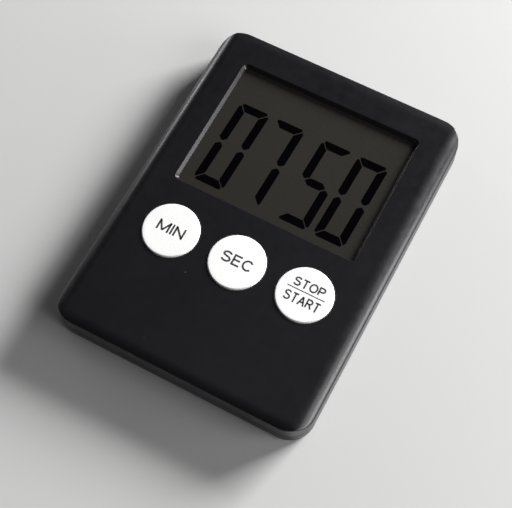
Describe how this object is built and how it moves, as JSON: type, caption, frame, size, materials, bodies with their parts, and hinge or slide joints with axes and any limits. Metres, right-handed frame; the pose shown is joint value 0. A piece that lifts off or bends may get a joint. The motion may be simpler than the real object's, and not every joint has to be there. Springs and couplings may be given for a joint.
{
  "type": "kitchen timer",
  "caption": "Slim black pocket kitchen timer with a large recessed display, round white push buttons and a fold-out stand.",
  "frame": {"origin": "centre of the back face, on the surface that the timer lies on", "axes": "+Z out of the display, +Y towards the top of the display, +X to the display's right"},
  "size_m": [0.064, 0.086, 0.0083],
  "materials": {
    "cover_plastic": "fine satin, black",
    "button_plastic": "gloss, white",
    "display_glass": "clear display glass",
    "polariser": "dark grey film over the display",
    "reflector": "matt reflective film",
    "foam": "closed-cell foam",
    "frame_plastic": "white",
    "conductive_rubber": "pink rubber with a black conductive core",
    "board_laminate": "green solder mask",
    "epoxy": "black epoxy",
    "crystal_can": "drawn metal can",
    "capacitor_ceramic": "tan ceramic with tinned ends",
    "resistor_ceramic": "black with tinned ends",
    "transistor_plastic": "black moulded",
    "coil_ferrite": "dark ferrite",
    "silicone": "translucent grey silicone",
    "carbon": "black carbon print",
    "buzzer_brass": "thin sheet brass",
    "piezo_ceramic": "silvered ceramic",
    "adhesive": "adhesive tape",
    "lead_insulation": "red and black insulation",
    "cell_steel": "nickel-plated steel",
    "spring_steel": "tinned spring steel",
    "magnet_nickel": "nickel plate, slightly scuffed",
    "screw_steel": "zinc-plated steel"
  },
  "bodies": {
    "housing": {"front_cover": "cover_plastic", "rear_cover": "cover_plastic", "display_gasket": "foam", "front_polariser": "polariser", "lcd_front_glass": "display_glass", "lcd_rear_glass": "display_glass", "rear_reflector": "reflector", "display_frame": "frame_plastic", "zebra_strip": "conductive_rubber", "circuit_board": "board_laminate", "chip_blob": "epoxy", "quartz_crystal": "crystal_can", "chip_capacitors": "capacitor_ceramic", "chip_resistors": "resistor_ceramic", "buzzer_transistor": "transistor_plastic", "buzzer_coil": "coil_ferrite", "keypad_mat": "silicone", "min_dome": "silicone", "sec_dome": "silicone", "start_stop_dome": "silicone", "buzzer_disc": "buzzer_brass", "buzzer_ceramic": "piezo_ceramic", "buzzer_adhesive_ring": "adhesive", "buzzer_leads": "lead_insulation", "button_cell": "cell_steel", "positive_contact": "spring_steel", "negative_contact": "spring_steel", "magnets": "magnet_nickel", "cover_screws": "screw_steel", "board_screws": "screw_steel"},
    "min_key": {"min_button": "button_plastic", "min_contact_pill": "carbon"},
    "sec_key": {"sec_button": "button_plastic", "sec_contact_pill": "carbon"},
    "start_stop_key": {"start_stop_button": "button_plastic", "start_stop_contact_pill": "carbon"},
    "door": {"battery_door": "cover_plastic"},
    "stand": {"kickstand": "cover_plastic"}
  },
  "joints": [
    {"name": "min_press", "type": "slide", "parent": "housing", "child": "min_key", "axis": [0, 0, -1], "range_m": [0, 0.00075], "stiffness_N_per_m": 1200, "springref_m": -0.0004, "deforming": ["min_dome"]},
    {"name": "sec_press", "type": "slide", "parent": "housing", "child": "sec_key", "axis": [0, 0, -1], "range_m": [0, 0.00075], "stiffness_N_per_m": 1200, "springref_m": -0.0004, "deforming": ["sec_dome"]},
    {"name": "start_stop_press", "type": "slide", "parent": "housing", "child": "start_stop_key", "axis": [0, 0, -1], "range_m": [0, 0.00075], "stiffness_N_per_m": 1200, "springref_m": -0.0004, "deforming": ["start_stop_dome"]},
    {"name": "door_slide", "type": "slide", "parent": "housing", "child": "door", "axis": [0, -1, 0], "range_m": [0, 0.02]},
    {"name": "stand_hinge", "type": "hinge", "parent": "housing", "child": "stand", "pos_m": [0, 0.017, 0.0007], "axis": [1, 0, 0], "range_deg": [0, 60]}
  ]
}
